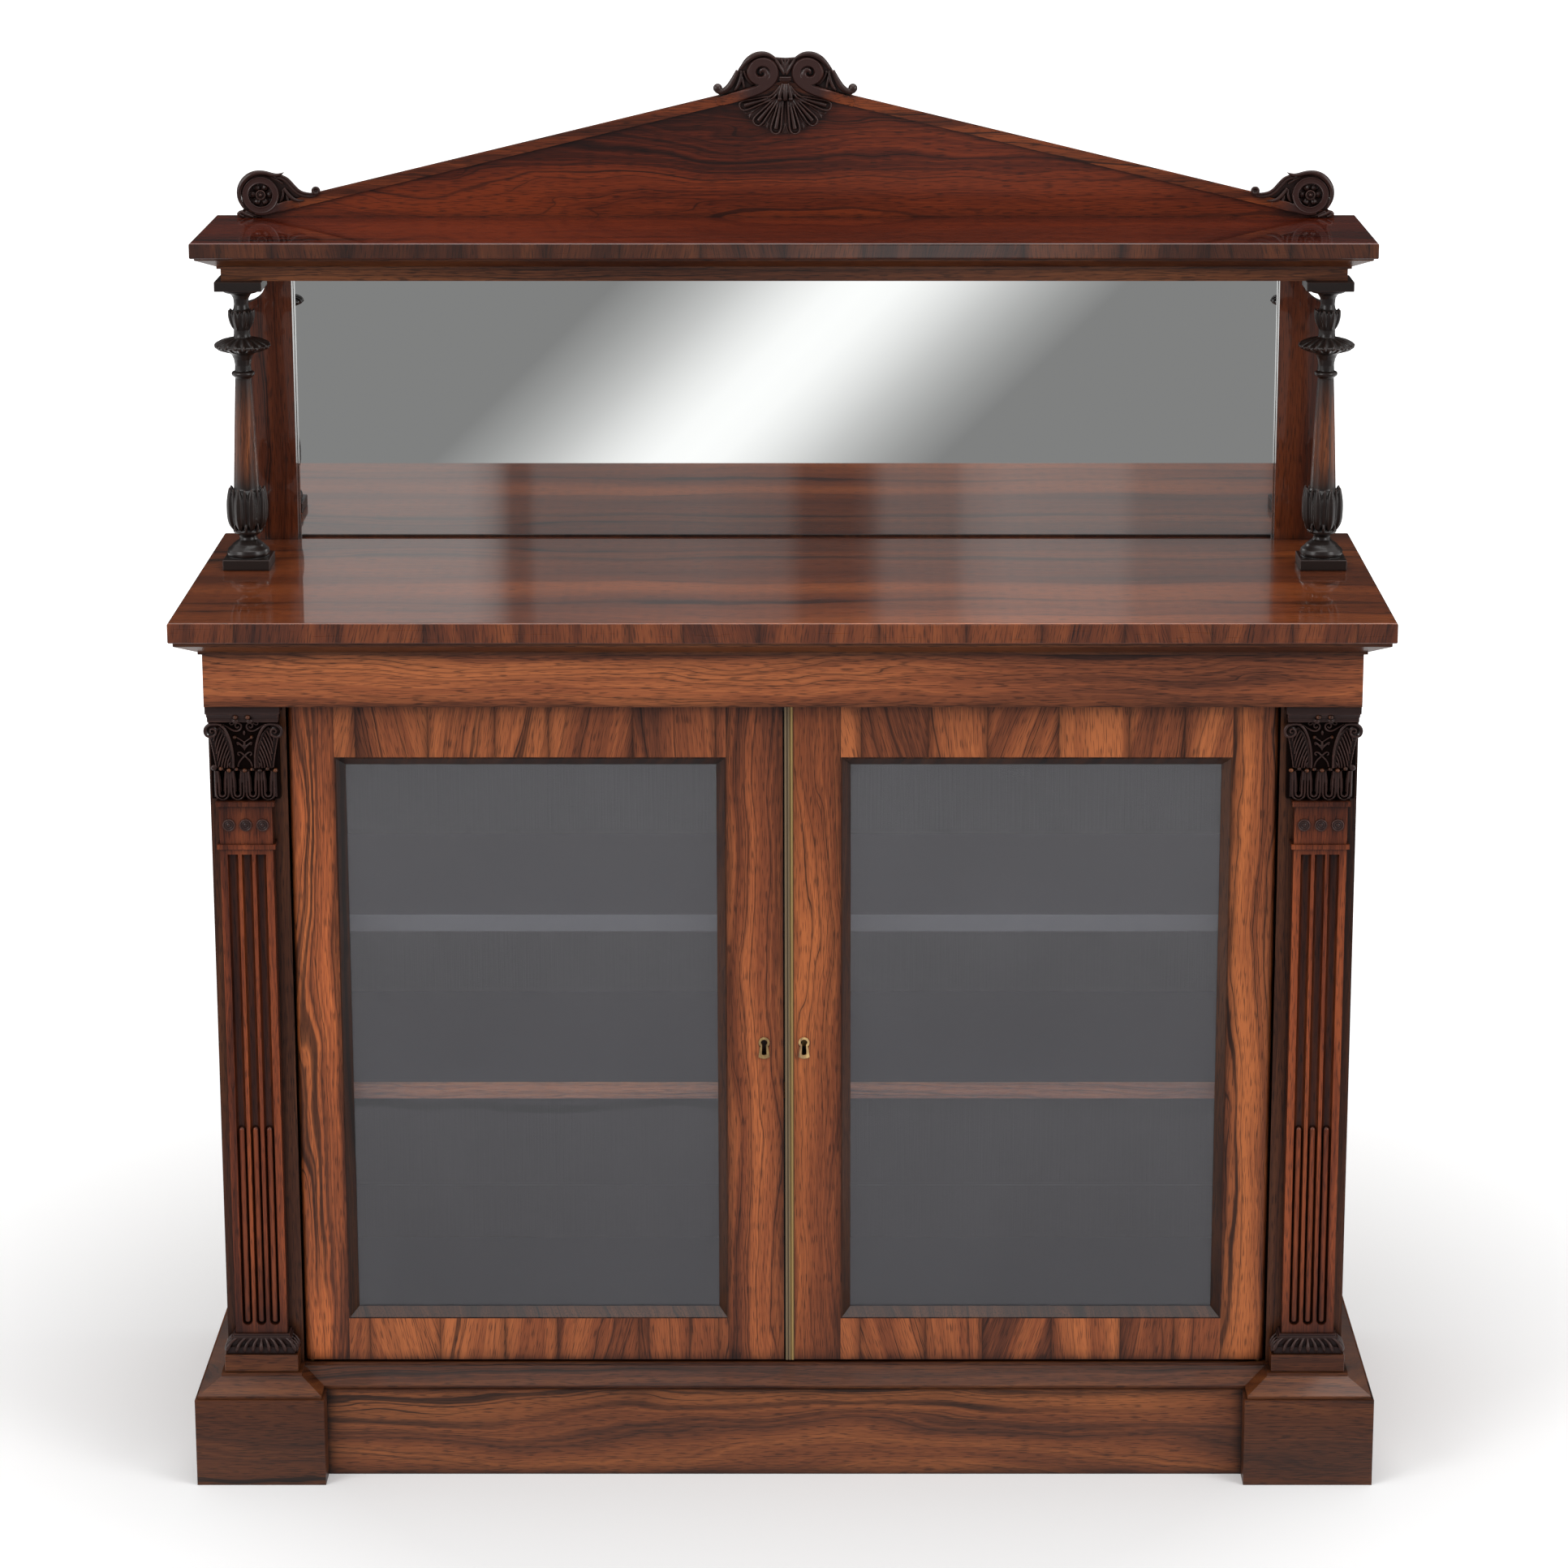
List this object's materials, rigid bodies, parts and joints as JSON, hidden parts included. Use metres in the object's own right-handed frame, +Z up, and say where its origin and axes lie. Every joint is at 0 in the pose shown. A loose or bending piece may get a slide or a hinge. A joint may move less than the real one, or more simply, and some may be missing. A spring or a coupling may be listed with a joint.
{
  "type": "chiffonier",
  "caption": "Cupboard with glazed doors on a breakfront plinth, with fluted pilasters, a mirrored gallery shelf on turned columns and a raked pediment with carved crest.",
  "frame": {"origin": "on the floor, under the middle of the whole piece", "axes": "+X to the right, -Y towards the viewer (the doors' side), +Z up"},
  "size_m": [1.22, 0.43, 1.4435],
  "materials": {
    "rosewood": "french polish",
    "rosewood_dark": "french polish",
    "rosewood_carved": "waxed",
    "pine": "oiled",
    "painted_pine": "painted",
    "brass": "aged",
    "pane_glass": "polished",
    "mirror": "silvered"
  },
  "bodies": {
    "carcass": {"bottom_board": "pine", "carcass_sides": "rosewood", "corner_stiles": "rosewood", "framed_back": "pine", "frieze_board": "rosewood", "gallery_frieze": "rosewood", "gallery_moulding": "rosewood", "gallery_shelf": "rosewood", "gallery_uprights": "rosewood", "head_rail": "pine", "left_gallery_column": "rosewood_carved", "left_pilaster_capital": "rosewood_carved", "left_pilaster_foot": "rosewood_carved", "left_pilaster_shaft": "rosewood", "left_plinth_block": "rosewood", "left_scroll_end": "rosewood_carved", "lower_shelf": "painted_pine", "mirror_backboard": "pine", "mirror_plate": "mirror", "pediment_board": "rosewood", "pediment_crest": "rosewood_carved", "pivot_pins": "brass", "plinth_back_rail": "pine", "plinth_cap": "rosewood", "plinth_front_board": "rosewood", "plinth_side_boards": "rosewood", "rake_bands": "rosewood", "right_gallery_column": "rosewood_carved", "right_pilaster_capital": "rosewood_carved", "right_pilaster_foot": "rosewood_carved", "right_pilaster_shaft": "rosewood", "right_plinth_block": "rosewood", "right_scroll_end": "rosewood_carved", "shelf_bearers": "pine", "table_moulding": "rosewood", "top_board": "rosewood", "top_rails": "pine", "upper_shelf": "painted_pine"},
    "left_door": {"door_bolt_plates": "brass", "left_door_glass": "pane_glass", "left_door_glass_bead": "rosewood_dark", "left_door_glazing_moulding": "rosewood_dark", "left_door_hanging_stile": "rosewood", "left_door_meeting_stile": "rosewood", "left_door_pivot_plates": "brass", "left_door_rails": "rosewood", "left_escutcheon": "brass"},
    "right_door": {"brass_meeting_strip": "brass", "lock_case": "brass", "right_door_glass": "pane_glass", "right_door_glass_bead": "rosewood_dark", "right_door_glazing_moulding": "rosewood_dark", "right_door_hanging_stile": "rosewood", "right_door_meeting_stile": "rosewood", "right_door_pivot_plates": "brass", "right_door_rails": "rosewood", "right_escutcheon": "brass"},
    "top_bolt": {"top_door_bolt": "brass"},
    "bottom_bolt": {"bottom_door_bolt": "brass"},
    "lock_tongue": {"lock_bolt": "brass"}
  },
  "joints": [
    {"name": "right_door_hinge", "type": "hinge", "parent": "carcass", "child": "right_door", "pos_m": [0.4945, -0.153, 0.4], "axis": [0, 0, 1], "range_deg": [0, 90]},
    {"name": "left_door_hinge", "type": "hinge", "parent": "carcass", "child": "left_door", "pos_m": [-0.4945, -0.153, 0.4], "axis": [0, 0, -1], "range_deg": [0, 90]},
    {"name": "lock_bolt_slide", "type": "slide", "parent": "right_door", "child": "lock_tongue", "axis": [-1, 0, 0], "range_m": [0, 0.007]},
    {"name": "top_bolt_slide", "type": "slide", "parent": "left_door", "child": "top_bolt", "axis": [0, 0, 1], "range_m": [0, 0.012]},
    {"name": "bottom_bolt_slide", "type": "slide", "parent": "left_door", "child": "bottom_bolt", "axis": [0, 0, -1], "range_m": [0, 0.012]}
  ]
}
